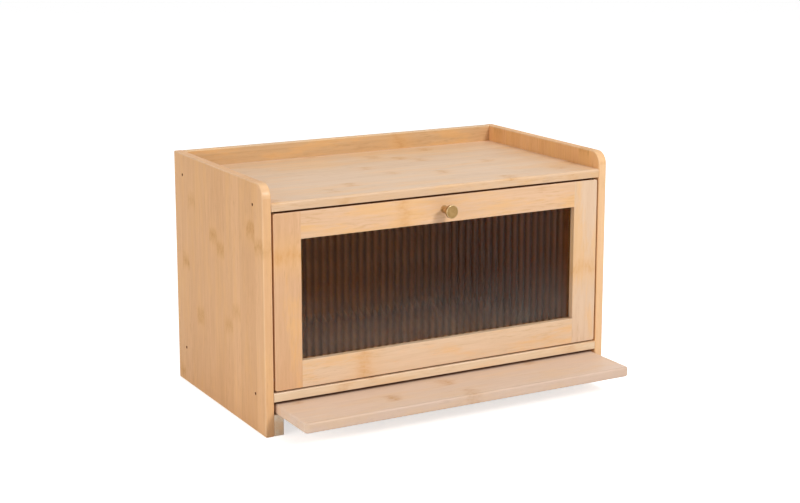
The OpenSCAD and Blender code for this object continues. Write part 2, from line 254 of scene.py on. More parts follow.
def bamboo_grain():
    tree, given, result = new_group(
        "bamboo grain",
        {"Vector": None, "Strip Width": 0.019, "Strip Shift": 0.0, "Seed": 0.0,
         "Light Wood": (0.84, 0.56, 0.33, 1.0), "Dark Wood": (0.72, 0.43, 0.22, 1.0),
         "Knuckle Wood": (0.55, 0.27, 0.10, 1.0), "Honey Wood": (0.86, 0.48, 0.17, 1.0),
         "Honey Share": 0.35, "Strip Contrast": 0.5, "Fibre Contrast": 0.6,
         "Knuckle Place": 0.0, "Knuckle Spacing": 0.27, "Knuckle Strength": 0.7,
         "End Grain": 0.0, "Arris": 0.0, "Rough Cut": 0.0},
        {"Color": "Color", "Roughness": "Float", "Height": "Float"},
    )
    vector = given["Vector"]
    along, across, _ = split(vector)

    # which strip, and how far across it
    place = calc("/", calc("-", across, given["Strip Shift"]), given["Strip Width"])
    strip = calc("+", calc("FLOOR", place), given["Seed"])
    in_strip = calc("-", calc("FRACT", place), 0.5)
    tone = draw(strip)
    from_joint = calc("*", calc("-", 0.5, calc("ABSOLUTE", in_strip)), given["Strip Width"])
    joint = ramp_down(from_joint, 0.00005, 0.0004)

    # fibres: soft streaks, short dark dashes in patches, and a slow drift of tone
    own_place = add("CombineXYZ", given["Seed"], 0.0, given["Seed"])
    moved = add("VectorMath", vector, own_place, operation="ADD")
    streaks = speckle(moved, (16.0, 300.0, 300.0), 5.0, 0.65)
    drift = speckle(moved, (5.0, 34.0, 34.0), 2.0)
    honey = ramp_up(speckle(moved, (12.0, 58.0, 58.0), 5.0, 0.65), 0.46, 0.64)
    patches = ramp_up(speckle(moved, (13.0, 48.0, 48.0), 2.0), 0.44, 0.62)
    dashes = ramp_up(speckle(moved, (70.0, 620.0, 620.0), 3.0, 0.6), 0.50, 0.68)
    dashes = calc("*", dashes, calc("*+", patches, 0.75, 0.25))

    # knuckles: one to each strip, bent a little and broken by the fibres
    wander = sway(speckle(moved, (60.0, 130.0, 130.0), 3.0), 0.014, 0.0)
    bend = calc("*", calc("*", in_strip, in_strip), 0.010)
    away = calc("-", calc("+", along, calc("+", wander, bend)), given["Knuckle Place"])
    half = calc("*", given["Knuckle Spacing"], 0.5)
    away = calc("ABSOLUTE", calc("WRAP", away, half, calc("*", half, -1.0)))
    band = ramp_down(away, 0.0005, 0.012)
    line = ramp_down(away, 0.0002, 0.0011)
    halo = ramp_down(away, 0.004, 0.030)
    broken = ramp_up(speckle(moved, (160.0, 420.0, 420.0), 3.0), 0.42, 0.62)
    knuckle = calc("*", band, calc("*+", broken, 0.42, 0.32))
    knuckle = calc("*+", line, 0.15, knuckle)
    own_strength = calc("*+", draw(calc("+", strip, 41.3)), 0.6, 0.5)
    knuckle = calc("*", knuckle, calc("*", own_strength, given["Knuckle Strength"]))

    # colour: light to dark wood by all of these, then the knuckles, the end grain and the arris
    share = sway(tone, given["Strip Contrast"], 0.5)
    share = sway(streaks, given["Fibre Contrast"], share)
    share = sway(drift, 0.45, share)
    share = add_shares(share, (dashes, 0.55), (joint, 0.10))
    wood = mix(share, given["Light Wood"], given["Dark Wood"])
    glow = calc("*", halo, calc("*", own_strength, 0.8))
    honey = calc("*", calc("MAXIMUM", honey, glow), given["Honey Share"])
    wood = mix(honey, wood, given["Honey Wood"])
    wood = mix(knuckle, wood, given["Knuckle Wood"])
    pores = ramp_up(speckle(vector, (500.0, 1100.0, 1100.0), 2.0), 0.45, 0.62)
    ends = calc("*", given["End Grain"], calc("*+", pores, 0.16, 0.02))
    wood = mix(ends, wood, given["Knuckle Wood"])
    wood = mix(calc("*", given["Arris"], 0.22), wood, SANDED_WOOD)
    # painted shade: drilled walls, marked edges and covered gap faces turn dark brown
    wood = mix(given["Rough Cut"], wood, SHADED_WOOD)
    link(wood, result.inputs["Color"])

    # satin lacquer: a little duller on knuckles and ends
    shine = sway(streaks, 0.12, 0.43)
    shine = add_shares(shine, (knuckle, 0.10), (given["End Grain"], 0.10), (given["Rough Cut"], 0.40))
    link(shine, result.inputs["Roughness"])
    height = add_shares(streaks, (dashes, -0.5), (joint, -0.6), (knuckle, -0.4))
    link(height, result.inputs["Height"])
    return tree


grain_group = bamboo_grain()
print("grain group:", len(grain_group.nodes), "nodes")

# %% [markdown]
# ## One wood, many boards
#
# Every board is the same bamboo, cut another way. A material turns the object's coordinates so
# that X follows the fibres of its board, then hands them to the grain. Four numbers on each
# face, written by the helpers that shape the boards, tell it where the saw cut across the
# fibres, where an edge was sanded round, where painted shade darkens the wood, on the walls of
# drilled holes and on the cutting board's front edge, and which edges lie in a narrow gap. Those
# get painted shade only while another board really covers them, which Ambient Occlusion finds
# out: once the door is open, its edges are plain wood.
#
# Knuckles lie at random along most boards. On a board where they catch the eye, a list gives the
# place of the knuckle in each strip.

# %% Wood materials
GAP_REACH = 0.02  # how far the occlusion looks for a board that covers an edge
NO_SECOND = 2.0  # a spacing beyond any board's length, so a strip has one knuckle


def knuckle_table(across, first_edge, strip_width, places):
    """Looks up where along the board the knuckle of this strip sits."""
    made = new_node("ShaderNodeValToRGB")
    made.color_ramp.interpolation = "CONSTANT"
    stops = made.color_ramp.elements
    for _ in places[2:]:
        stops.new(0.5)
    for count, place in enumerate(places):
        level = place + 0.5  # a colour can't be negative
        stops[count].position = count / len(places)
        stops[count].color = (level, level, level, 1)
    span = strip_width * len(places)
    share = calc("/", calc("-", across, first_edge), span)
    link(share, made.inputs[0])
    return calc("-", made.outputs[0], 0.5)


def wood(name, along, across, seed, strip=0.019, shift=0.0, light=(0.86, 0.56, 0.32),
         dark=(0.70, 0.41, 0.20), honey=(0.86, 0.48, 0.17), honey_share=0.45,
         knuckle=(0.55, 0.25, 0.06), places=None, spacing=0.27, strength=0.7, strips=0.4, fibres=1.2):
    """Bamboo whose fibres run along one axis and whose strips lie side by side across another."""
    made, shader = new_material(name)
    apart = split(add("TexCoord", out="Object"))
    through = ({"x", "y", "z"} - {along, across}).pop()
    turned = add("CombineXYZ", *(apart[AXES[a]] for a in (along, across, through)))
    side = apart[AXES[across]]
    if places:
        place, spacing = knuckle_table(side, shift, strip, places), NO_SECOND
    else:
        count = calc("/", calc("-", side, shift), strip)
        lot = draw(calc("+", calc("FLOOR", count), seed + 7.7))
        place = calc("*", lot, spacing)
    # painted shade: gap faces go dark where Ambient Occlusion finds them covered, marked faces always
    free = add("AmbientOcclusion", None, GAP_REACH, out="AO", samples=8)
    covered = ramp_up(calc("-", 1.0, free), 0.45, 0.8)
    rough = calc("*+", face_mark("gap_shade"), covered, face_mark("painted_shade"))
    grain = use_group(
        grain_group, Vector=turned, Strip_Width=strip, Strip_Shift=shift, Seed=seed,
        Light_Wood=(*light, 1), Dark_Wood=(*dark, 1), Knuckle_Wood=(*knuckle, 1),
        Honey_Wood=(*honey, 1), Honey_Share=honey_share, Strip_Contrast=strips,
        Fibre_Contrast=fibres, Knuckle_Place=place, Knuckle_Spacing=spacing,
        Knuckle_Strength=strength, End_Grain=face_mark("end_grain"),
        Arris=face_mark("arris"), Rough_Cut=rough,
    )
    wire_up(shader, grain, 0.35, 0.0001)
    lacquer = calc("*+", rough, -0.12, 0.12)
    link(lacquer, shader.inputs["Coat Weight"])
    set_plain(shader, Coat_Roughness=0.25, Specular_IOR_Level=0.3)
    return made


# %% The woods of the cabinet
front_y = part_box("left_side_panel")[0].y
PANEL_STRIP = 0.01904
# from the counter up, strip by strip from the front; a strip with -0.4 shows no knuckle
PANEL_KNUCKLES = [0.189, 0.203, -0.4, 0.112, 0.093, 0.168, 0.179, -0.4, 0.085, 0.205, 0.1365, 0.010]

wood_panel_left = wood(
    "bamboo, left side", "z", "y", 1.0, strip=PANEL_STRIP, shift=front_y, places=PANEL_KNUCKLES,
    light=(0.84, 0.485, 0.235), dark=(0.68, 0.355, 0.15), honey_share=0.3, knuckle=(0.54, 0.23, 0.035),
    strength=0.8)
wood_panel_right = wood(
    "bamboo, right side", "z", "y", 5.0, strip=PANEL_STRIP, shift=front_y, light=(0.90, 0.51, 0.24),
    dark=(0.74, 0.38, 0.14))
wood_top = wood(
    "bamboo, top", "x", "y", 9.0, shift=front_y, light=(0.82, 0.58, 0.39), dark=(0.67, 0.43, 0.25),
    honey_share=0.35, strips=0.25, fibres=0.9)
wood_base = wood(
    "bamboo, base", "x", "y", 11.0, shift=front_y, light=(0.93, 0.74, 0.55), dark=(0.76, 0.555, 0.35),
    honey_share=0.3)
wood_back = wood(
    "bamboo, back", "x", "z", 13.0, shift=-0.0025, light=(0.76, 0.50, 0.27), dark=(0.60, 0.36, 0.17))
# painted light: the runners are paler to offset the cutting board's shadow on their front ends
wood_runner_painted_light = wood(
    "bamboo, runners", "y", "z", 21.0, strip=0.025, shift=-0.001, light=(0.96, 0.84, 0.68),
    dark=(0.85, 0.70, 0.53))

# %% The woods of the door and of the cutting board
SOFT_KNUCKLE = (0.68, 0.32, 0.09)

wood_stile_left = wood(
    "bamboo, left stile", "z", "x", 25.0, strip=0.029, shift=-0.1887, places=[0.180, 0.180],
    light=(0.82, 0.50, 0.29), dark=(0.66, 0.37, 0.185), honey_share=0.5, knuckle=SOFT_KNUCKLE, strength=0.9)
wood_stile_right = wood(
    "bamboo, right stile", "z", "x", 27.0, strip=0.029, shift=0.1597, places=[0.128, 0.128],
    light=(0.84, 0.61, 0.43), dark=(0.68, 0.44, 0.265), knuckle=SOFT_KNUCKLE, strength=0.6, fibres=0.8)
wood_rail_top = wood(
    "bamboo, top rail", "x", "z", 31.0, strip=0.03, shift=0.193, places=[-0.046, -0.046],
    light=(0.87, 0.58, 0.38), dark=(0.70, 0.42, 0.225), honey_share=0.5, knuckle=SOFT_KNUCKLE, strength=0.8)
wood_rail_bottom = wood(
    "bamboo, bottom rail", "x", "z", 35.0, strip=0.03, shift=0.0440, places=[-0.091, -0.091],
    light=(0.88, 0.64, 0.45), dark=(0.71, 0.47, 0.275), knuckle=SOFT_KNUCKLE, strength=1.0)
wood_bead = wood("bamboo, beads", "x", "z", 41.0, strength=0.3)
wood_bead_up = wood("bamboo, upright beads", "z", "x", 43.0, strength=0.3)
wood_board = wood(
    "bamboo, cutting board", "x", "y", 51.0, shift=-0.147, light=(0.83, 0.63, 0.49),
    dark=(0.73, 0.53, 0.40), honey=(0.84, 0.56, 0.30), honey_share=0.3, strips=0.3)
print("wood materials:", sum(m.name.startswith("bamboo") for m in bpy.data.materials))

# %% [markdown]
# ## Turned brass and steel
#
# Metal is never one flat grey. A lathe leaves fine rings on the brass knob, and the small steel
# parts have a faint cloudy wear. One group serves both: it takes a place and gives a colour, a
# roughness and a height. On the knob's marked faces the colour is lighter and the roughness
# lower: rubbed brass, and a painted highlight.

# %% Node group for metal, and the metals
POLISH_AND_HIGHLIGHT = (0.88, 0.76, 0.48, 1.0)
RINGS_TO_THE_METRE = 9000.0


def metal_wear():
    tree, given, result = new_group(
        "metal wear",
        {"Vector": None, "Rings": 0.0, "Base Roughness": 0.3, "Polish": 0.0,
         "Light": (0.7, 0.7, 0.7, 1.0), "Dark": (0.5, 0.5, 0.5, 1.0)},
        {"Color": "Color", "Roughness": "Float", "Height": "Float"},
    )
    x, _, z = split(given["Vector"])
    radius = calc("+", calc("*", x, x), calc("*", z, z))
    turning = calc("*", calc("SQRT", radius), RINGS_TO_THE_METRE)
    lathe = add("TexNoise", None, turning, 1.0, 2.0, 0.6, noise_dimensions="1D")
    lathe = sway(lathe, given["Rings"], 0.0)
    clouds = speckle(given["Vector"], (260.0, 260.0, 260.0), 4.0, 0.6)
    fine = speckle(given["Vector"], (2600.0, 2600.0, 2600.0), 2.0)
    rough = sway(clouds, 0.22, given["Base Roughness"])
    rough = add_shares(rough, (lathe, 0.25), (given["Polish"], -0.15))
    colour = mix(ramp_up(clouds, 0.35, 0.75), given["Light"], given["Dark"])
    # rubbed metal and a painted highlight: marked faces mix towards a pale gold
    colour = mix(given["Polish"], colour, mix(0.6, given["Light"], POLISH_AND_HIGHLIGHT))
    link(colour, result.inputs["Color"])
    link(rough, result.inputs["Roughness"])
    link(calc("*+", fine, 0.3, lathe), result.inputs["Height"])
    return tree


wear_group = metal_wear()


def metal(name, light, dark, rough, rings=0.0, centre=(0, 0, 0)):
    made, shader = new_material(name)
    centred = add("Mapping", add("TexCoord", out="Object"), tuple(-c for c in centre))
    paler_front = use_group(
        wear_group, Vector=centred, Rings=rings, Base_Roughness=rough,
        Polish=face_mark("arris"), Light=(*light, 1), Dark=(*dark, 1))
    wire_up(shader, paler_front, 0.3, 0.00004)
    set_plain(shader, Metallic=1.0)
    return made


knob_low, knob_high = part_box("door_knob")
knob_centre = (knob_low + knob_high) / 2
brass = metal("satin brass", (0.455, 0.286, 0.115), (0.37, 0.22, 0.079), 0.34, rings=1.0, centre=knob_centre)
steel = metal("zinc plated steel", (0.62, 0.63, 0.65), (0.42, 0.43, 0.45), 0.32)
dark_steel = metal("dark steel", (0.10, 0.06, 0.035), (0.05, 0.03, 0.015), 0.6)
nickel = metal("nickel plated magnet", (0.72, 0.70, 0.66), (0.58, 0.56, 0.52), 0.18)
print("metals:", ", ".join(m.name for m in (brass, steel, dark_steel, nickel)))

# %% [markdown]
# ## Ribbed glass
#
# Through the shut door each rib is clear in its middle and dark at its sides, where it bends
# the dark inside into view. Ray tracing alone shows that too faintly, so the glass's colour
# paints that shade along the ribs, paints light that grows brighter and warmer towards the
# right with a lit wall at the right end, and darkens light that has bounced inside the box. The
# open door has free air behind it, so its glass is clear: Ambient Occlusion looks out from both
# faces of the pane and finds out which it is. A glossy coat thickens towards the bottom, and a
# painted shine runs along each rib.

# %% Glass material
RIB_PITCH, RIB_HEIGHT = 8.2 * MM, 0.8 * MM
CLEAR_GLASS, WARM_LIGHT_GLASS, PAINTED_SHADE_GLASS = (0.93, 0.94, 0.94, 1), (0.93, 0.895, 0.81, 1), (0.42, 0.29, 0.15, 1)
LIT_WALL_GLASS, BOUNCED_SHADE_GLASS, OPEN_GLASS = (0.95, 0.80, 0.55, 1), (0.45, 0.31, 0.165, 1), (0.95, 0.96, 0.95, 1)
pane_low, pane_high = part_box("reeded_pane")


def shut_door(y):
    """1 on the shut door's pane and 0 on the open one's, from how much is near each face."""
    behind = calc("GREATER_THAN", y, (pane_low.y + pane_high.y) / 2)
    outward = add("CombineXYZ", 0.0, calc("*+", behind, 2.0, -1.0), 0.0)
    outward = add("VectorTransform", outward, vector_type="NORMAL",
                  convert_from="OBJECT", convert_to="WORLD")
    reach = calc("*+", behind, 0.18, 0.12)
    free = add("AmbientOcclusion", None, reach, outward, out="AO", samples=8)
    air_in_front = ramp_up(free, 0.25, 0.45)
    box_behind = ramp_down(free, 0.1, 0.3)
    return calc("*+", behind, calc("-", box_behind, air_in_front), air_in_front)


def ribbed_glass():
    made, shader = new_material("ribbed glass")
    coordinates = add("TexCoord", out="Object")
    x, y, z = split(coordinates)
    dust = ramp_up(speckle(coordinates, (35.0, 35.0, 35.0), 5.0, 0.6), 0.45, 0.85)
    link(calc("*+", dust, 0.07, 0.02), shader.inputs["Roughness"])

    # painted light and shade across each rib: shade at its two sides, clear over its middle, and painted
    # light growing towards the pane's right end
    across = calc("FRACT", calc("*+", x, 1 / RIB_PITCH, 0.5))
    middle = add("MapRange", x, -0.16, 0.16, 0.32, 0.62)
    bright = calc("MINIMUM", ramp_up(across, 0.0, middle), ramp_down(across, middle, 1.0))
    uneven = speckle(coordinates, (130.0, 130.0, 11.0), 3.0)
    bright = calc("*", bright, calc("*+", uneven, 0.9, 0.55))
    bright = calc("*", bright, add("MapRange", x, -0.16, 0.16, 0.95, 1.4))
    # painted warm light towards the right of the pane
    tint = mix(ramp_up(x, -0.08, 0.15), CLEAR_GLASS, WARM_LIGHT_GLASS)
    tint = mix(bright, PAINTED_SHADE_GLASS, tint)
    # painted light: a lit orange wall seen at the pane's right end
    tint = mix(ramp_up(x, 0.144, 0.158), tint, LIT_WALL_GLASS)

    # painted shade inside the box: light that has bounced there comes through a brownish, darker glass
    rays = new_node("ShaderNodeLightPath").outputs
    tint = mix(calc("GREATER_THAN", rays["Diffuse Depth"], 0.5), tint, BOUNCED_SHADE_GLASS)
    link(mix(shut_door(y), OPEN_GLASS, tint), shader.inputs["Base Color"])

    # a glossy coat that thickens towards the bottom, and a painted shine along each rib
    film = calc("*", ramp_down(z, 0.068, 0.150), calc("*+", dust, 0.4, 0.6))
    crest = ramp_down(calc("ABSOLUTE", calc("-", across, middle)), 0.03, 0.16)
    crest = calc("*", crest, add("MapRange", x, -0.16, 0.10, 0.15, 0.55))
    coat = calc("MAXIMUM", film, calc("*", crest, uneven))
    link(coat, shader.inputs["Coat Weight"])
    set_plain(shader, Transmission_Weight=1.0, IOR=1.47, Specular_Tint=(0.08, 0.08, 0.08, 1),
              Coat_IOR=1.6, Coat_Tint=(1.0, 0.93, 0.82, 1), Coat_Roughness=0.45)
    return made


glass = ribbed_glass()
print("glass:", len(glass.node_tree.nodes), "nodes, ribs", round(RIB_PITCH / MM, 1), "mm wide")

# %% [markdown]
# ## Shaping boards
#
# A joiner starts from a sawn blank, rounds its edges with sandpaper and drills it. The helpers
# do the same to a bmesh: `blank` makes the sawn board, `ease` rounds edges with a bevel, and
# `drill` opens a round hole in a flat face. Each face remembers what happened to it, for the
# material: a sanded arris, end grain, or painted shade on a drilled wall or in a narrow gap.

# %% Helpers for boards
NEAR = 0.00001
SORT_BY = Vector((1, 31.4159, 977.13))  # puts points in the same order each time


def new_board():
    board = bmesh.new()
    for mark in ("arris", "end_grain", "painted_shade", "gap_shade"):
        board.faces.layers.float.new(mark)
    return board


def mark_faces(board, faces, mark, value=1.0):
    for face in faces:
        face[board.faces.layers.float[mark]] = value


def only(kind, geometry):
    """The verts, edges or faces among what an operator gives back."""
    return [g for g in geometry if isinstance(g, kind)]


def everything(board):
    return [*board.verts, *board.edges, *board.faces]


def move(board, geometry, way):
    """Moves the verts among what an operator gave back."""
    bmesh.ops.translate(board, vec=way, verts=only(BMVert, geometry))


def blank(low, high):
    board = new_board()
    bmesh.ops.create_cube(board, size=1)
    bmesh.ops.scale(board, vec=high - low, verts=board.verts)
    bmesh.ops.translate(board, vec=(low + high) / 2, verts=board.verts)
    return board


def on_planes(part, **planes):
    """Whether a vert, edge or face lies in every named plane, such as x=0.1."""
    verts = [part] if isinstance(part, BMVert) else part.verts
    return all(abs(v.co[AXES[a]] - place) < NEAR for v in verts for a, place in planes.items())


def edges_on(board, **planes):
    return [e for e in board.edges if on_planes(e, **planes)]


def faces_on(board, **planes):
    return [f for f in board.faces if on_planes(f, **planes)]


def ease(board, edges, radius, segments=3, sanded=1.0):
    """Rounds edges, and marks the new faces as sanded."""
    made = bmesh.ops.bevel(board, geom=edges, offset=radius, segments=segments, profile=0.5,
                           affect="EDGES", material=-1, clamp_overlap=True)
    mark_faces(board, made["faces"], "arris", sanded)


print("board helpers are ready")

# %% Helpers for holes
def flat_face(board, centre, inward):
    """The face that looks against the drill and holds the hole's centre."""
    board.normal_update()
    for face in board.faces:
        flat = face.normal.dot(inward) < -0.99 and abs((centre - face.verts[0].co).dot(inward)) < NEAR
        if flat and bmesh.geometry.intersect_face_point(face, centre):
            return face
    raise ValueError(f"no flat face at {centre}")


def open_round(board, centre, inward, radius, steps=16):
    """Cuts a round opening in the flat face round centre and returns its rim."""
    centre, inward = Vector(centre), Vector(inward)
    side = Vector((0, 0, 1)) if abs(inward.z) < 0.5 else Vector((1, 0, 0))
    other = inward.cross(side)
    reach = radius * 1.5
    for way in (side, -side, other, -other):
        face = flat_face(board, centre, inward)
        bmesh.ops.bisect_plane(board, geom=[face, *face.edges, *face.verts],
                               plane_co=centre + way * reach, plane_no=way)
    others = {e for e in board.edges if e.is_boundary}
    bmesh.ops.delete(board, geom=[flat_face(board, centre, inward)], context="FACES_ONLY")
    square = [e for e in board.edges if e.is_boundary and e not in others]
    bmesh.ops.subdivide_edges(board, edges=square, cuts=steps // 4 - 1)
    square = [e for e in board.edges if e.is_boundary and e not in others]
    turn = Matrix((side, other, inward)).transposed().to_4x4()
    sunk = Matrix.Translation(centre + inward * radius)  # lets the bridge see which way is in
    ring = bmesh.ops.create_circle(board, segments=steps, radius=radius, matrix=sunk @ turn)["verts"]
    rim = [e for e in board.edges if e.is_wire]
    bmesh.ops.bridge_loops(board, edges=square + rim)
    move(board, ring, -inward * radius)
    return rim


def drill(board, centre, inward, radius, depth):
    """Drills a blind hole with a flat bottom."""
    rim = open_round(board, centre, inward, radius)
    made = bmesh.ops.extrude_edge_only(board, edges=rim)["geom"]
    move(board, made, Vector(inward) * depth)
    bottom = [e for e in only(BMEdge, made) if e.is_boundary]
    bottom = bmesh.ops.contextual_create(board, geom=bottom)["faces"]
    # painted shade on the hole's walls and bottom
    mark_faces(board, only(BMFace, made) + bottom, "painted_shade")


def drill_through(board, centre, inward, radius, thickness):
    near = open_round(board, centre, inward, radius)
    far = open_round(board, Vector(centre) + Vector(inward) * thickness, -Vector(inward), radius)
    # painted shade on the hole's walls
    mark_faces(board, bmesh.ops.bridge_loops(board, edges=near + far)["faces"], "painted_shade")


print("drills are ready")

# %% Helper that finishes a piece
def finish_piece(name, made, material, body, slot, *nodes, grain=None, smooth=35, shaded_gaps=()):
    """Turns a bmesh into a piece that rides on a body and stands for CAD nodes."""
    bmesh.ops.recalc_face_normals(made, faces=made.faces)
    if grain:
        mark_faces(made, [f for f in made.faces if abs(f.normal[AXES[grain]]) > 0.9], "end_grain")
    # painted shade on faces that lie in a gap, shown where Ambient Occlusion finds them covered
    for axis, place, dark in shaded_gaps:
        mark_faces(made, faces_on(made, **{axis: place}), "gap_shade", dark)
    made.verts.sort(key=lambda v: v.co.dot(SORT_BY))
    made.faces.sort(key=lambda f: f.calc_center_median().dot(SORT_BY))
    mesh = bpy.data.meshes.new(name)
    made.to_mesh(mesh)
    made.free()
    mesh.shade_smooth()
    mesh.set_sharp_from_angle(angle=math.radians(smooth))
    mesh.materials.append(material)
    piece = bpy.data.objects.new(name, mesh)
    bpy.context.scene.collection.objects.link(piece)
    weighted = piece.modifiers.new("even shading", "WEIGHTED_NORMAL")
    weighted.keep_sharp = True
    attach(piece, body)
    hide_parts(*nodes)
    print(f"{name}: {len(mesh.polygons)} faces")


# %% [markdown]
# ## Side panels
#
# Each end of the box is one board with its fibres upright. The upper front corner is sawn to a
# quarter circle, and all its edges are sanded round. Four small nails hold the top board and the
# base board, and their heads sit a little below the surface, where they show as dark dots. Two
# more holes on the inside take the pin that the door turns on and the pin that stops it.

# %% Where nails, screws and catches sit
NAIL_FROM_EDGE = 23 * MM
NAIL_HEIGHTS = (38.9 * MM, 228 * MM)  # into the base board and into the top board
BACK_NAILS = (-167.5 * MM, 0, 167.5 * MM)  # to the right of the middle
RUNNER_SCREWS, RUNNER_SCREW_HEIGHT = (30 * MM, 109.75 * MM, 189.5 * MM), 10.75 * MM  # from the front
STRIP_SCREWS = (-175.5 * MM, 0, 175.5 * MM)
CATCHES, CATCH_HEIGHT = (-140 * MM, 140 * MM), 215 * MM
NAIL_HOLE, SCREW_HOLE, CATCH_HOLE = 1.55 * MM, 3.03 * MM, 5.03 * MM  # radii
SUNK = 2 * MM


def middle_of(node):
    low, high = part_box(node)
    return (low + high) / 2


print("nails at heights", [round(z / MM, 1) for z in NAIL_HEIGHTS], "mm")

# %% Side panels
ARRIS = 1.2 * MM
CORNER = 13.5 * MM


def panel(name, node, material, outward, paler_front):
    low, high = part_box(node)
    board = blank(low, high)
    ease(board, edges_on(board, y=low.y, z=high.z), CORNER, 16)
    for x in (low.x, high.x):
        ease(board, edges_on(board, x=x), ARRIS)
    outside, inside = (high.x, low.x) if outward > 0 else (low.x, high.x)
    for y in (low.y + NAIL_FROM_EDGE, high.y - NAIL_FROM_EDGE):
        for z in NAIL_HEIGHTS:
            drill(board, (outside, y, z), (-outward, 0, 0), NAIL_HOLE, SUNK)
    # the front face is made paler, the right panel's more than the left's
    mark_faces(board, faces_on(board, y=low.y), "arris", paler_front)
    hinge_pin = "right_pivot_pin" if outward > 0 else "left_pivot_pin"
    for pin, radius in ((hinge_pin, 2.58 * MM), ("door_stop_pins", 1.53 * MM)):
        _, y, z = middle_of(pin)
        drill(board, (inside, y, z), (outward, 0, 0), radius, 6.3 * MM)
    finish_piece(name, board, material, "cabinet", "bamboo", node, grain="z")


panel("panel_left", "left_side_panel", wood_panel_left, -1, 0.5)
panel("panel_right", "right_side_panel", wood_panel_right, 1, 1.5)

# %% [markdown]
# ## Top, base and back
#
# Three more boards close the cabinet. The top board sits 18 mm below the panels' upper edge, so
# a low gallery runs round it. The back board is nailed on from behind and has a row of holes
# that let damp air out.

# %% Top, base and back boards
AIR_HOLE, AIR_HOLE_PITCH, AIR_HOLE_HEIGHT = 5 * MM, 30 * MM, 188.5 * MM

for name, node, material, upper_arris, gap_shade in (
    ("top", "top_board", wood_top, 2.5 * MM, 0.0), ("base", "base_board", wood_base, 1.2 * MM, 0.8),
):
    low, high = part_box(node)
    board = blank(low, high)
    ease(board, edges_on(board, y=low.y, z=low.z), 0.6 * MM, sanded=0.0)
    ease(board, edges_on(board, y=low.y, z=high.z), upper_arris, 5, sanded=0.0)
    # painted shade on the base's underside while it covers the slot; the top's underside gets none
    underside = [f for f in board.faces if f.calc_center_median().z < low.z + 0.3 * MM]
    mark_faces(board, underside, "gap_shade", gap_shade)
    finish_piece(name, board, material, "cabinet", "bamboo_pale", node, grain="x")

low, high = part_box("back_board")
board = blank(low, high)
ease(board, edges_on(board, z=high.z, y=low.y) + edges_on(board, z=high.z, y=high.y), ARRIS)
for x in BACK_NAILS:
    for z in NAIL_HEIGHTS:
        drill(board, (x, high.y, z), (0, -1, 0), NAIL_HOLE, SUNK)
for step in range(-2, 3):
    hole = (step * AIR_HOLE_PITCH, low.y, AIR_HOLE_HEIGHT)
    drill_through(board, hole, (0, 1, 0), AIR_HOLE, high.y - low.y)
finish_piece("back", board, wood_back, "cabinet", "bamboo", "back_board", grain="x")

# %% [markdown]
# ## Runners and stop strip
#
# A runner stands low inside each panel and carries the cutting board. It is screwed on from the
# slot side. Under the top board, a strip stops the closed door, and two round magnets in it hold
# the door shut.

# %% Runners and stop strip
for name, node, outward in (("runner_left", "left_runner", -1), ("runner_right", "right_runner", 1)):
    low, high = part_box(node)
    board = blank(low, high)
    long_edges = [e for x in (low.x, high.x) for z in (low.z, high.z) for e in edges_on(board, x=x, z=z)]
    ends = [e for y in (low.y, high.y) for e in edges_on(board, y=y)]
    ease(board, long_edges + ends, 0.5 * MM)
    slot_side = low.x if outward > 0 else high.x
    for y in RUNNER_SCREWS:
        hole = (slot_side, low.y + y, RUNNER_SCREW_HEIGHT)
        drill(board, hole, (outward, 0, 0), SCREW_HOLE, SUNK)
    finish_piece(name, board, wood_runner_painted_light, "cabinet", "bamboo", node, grain="y")

low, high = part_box("door_stop_strip")
board = blank(low, high)
ease(board, edges_on(board, z=low.z, y=low.y) + edges_on(board, z=low.z, y=high.y), 0.8 * MM)
for x in CATCHES:
    drill(board, (x, low.y, CATCH_HEIGHT), (0, 1, 0), CATCH_HOLE, 4.3 * MM)
for x in STRIP_SCREWS:
    drill(board, (x, (low.y + high.y) / 2, low.z), (0, 0, 1), SCREW_HOLE, SUNK)
finish_piece("stop_strip", board, wood_top, "cabinet", "bamboo_pale", "door_stop_strip", grain="x")

# %% [markdown]
# ## Cutting board
#
# The cutting board is one flat board with its fibres from side to side. Its corners are rounded
# and its edges are eased, because hands pull it out by its front edge.

# %% Cutting board
low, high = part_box("cutting_board")
board = blank(low, high)
corners = [e for x in (low.x, high.x) for y in (low.y, high.y) for e in edges_on(board, x=x, y=y)]
ease(board, corners, 4 * MM, 6)
for z in (low.z, high.z):
    ease(board, edges_on(board, z=z), 2.2 * MM, 5, sanded=0.0)
# painted shade on the cutting board's front edge
front_edge = [f for f in board.faces if f.calc_center_median().y < low.y + 2 * MM]
mark_faces(board, front_edge, "painted_shade", 0.18)
# painted shade on the board's top where the base covers it
finish_piece("slide_board", board, wood_board, "cutting_board", "bamboo_board", "cutting_board",
             grain="x", shaded_gaps=[("z", high.z, 0.8)])

# %% [markdown]
# ## Door frame: the rails
#
# Two upright stiles run the full height and two rails stand between them. Behind the window's
# edge a rebate makes room for the glass. A rail has the same section from end to end, so it is
# drawn as an L and pulled along.

# %% Rails
REBATE = 6 * MM
REBATE_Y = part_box("top_rail")[0].y + 6.5 * MM
DOOR_ARRIS = 0.6 * MM


def rail(node, window_side):
    """The board of a rail, and the corners of its box."""
    low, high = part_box(node)
    outer, inner = (high.z, low.z) if window_side == "below" else (low.z, high.z)
    step = inner + (REBATE if inner < outer else -REBATE)
    board = new_board()
    section = [(low.y, outer), (high.y, outer), (high.y, step),
               (REBATE_Y, step), (REBATE_Y, inner), (low.y, inner)]
    face = board.faces.new([board.verts.new((low.x, y, z)) for y, z in section])
    made = bmesh.ops.extrude_face_region(board, geom=[face])["geom"]
    move(board, made, (high.x - low.x, 0, 0))
    bmesh.ops.recalc_face_normals(board, faces=board.faces)
    ease(board, edges_on(board, y=low.y, z=outer) + edges_on(board, y=high.y, z=outer), DOOR_ARRIS)
    ease(board, edges_on(board, y=low.y, z=inner), 0.5 * MM)
    return board, low, high


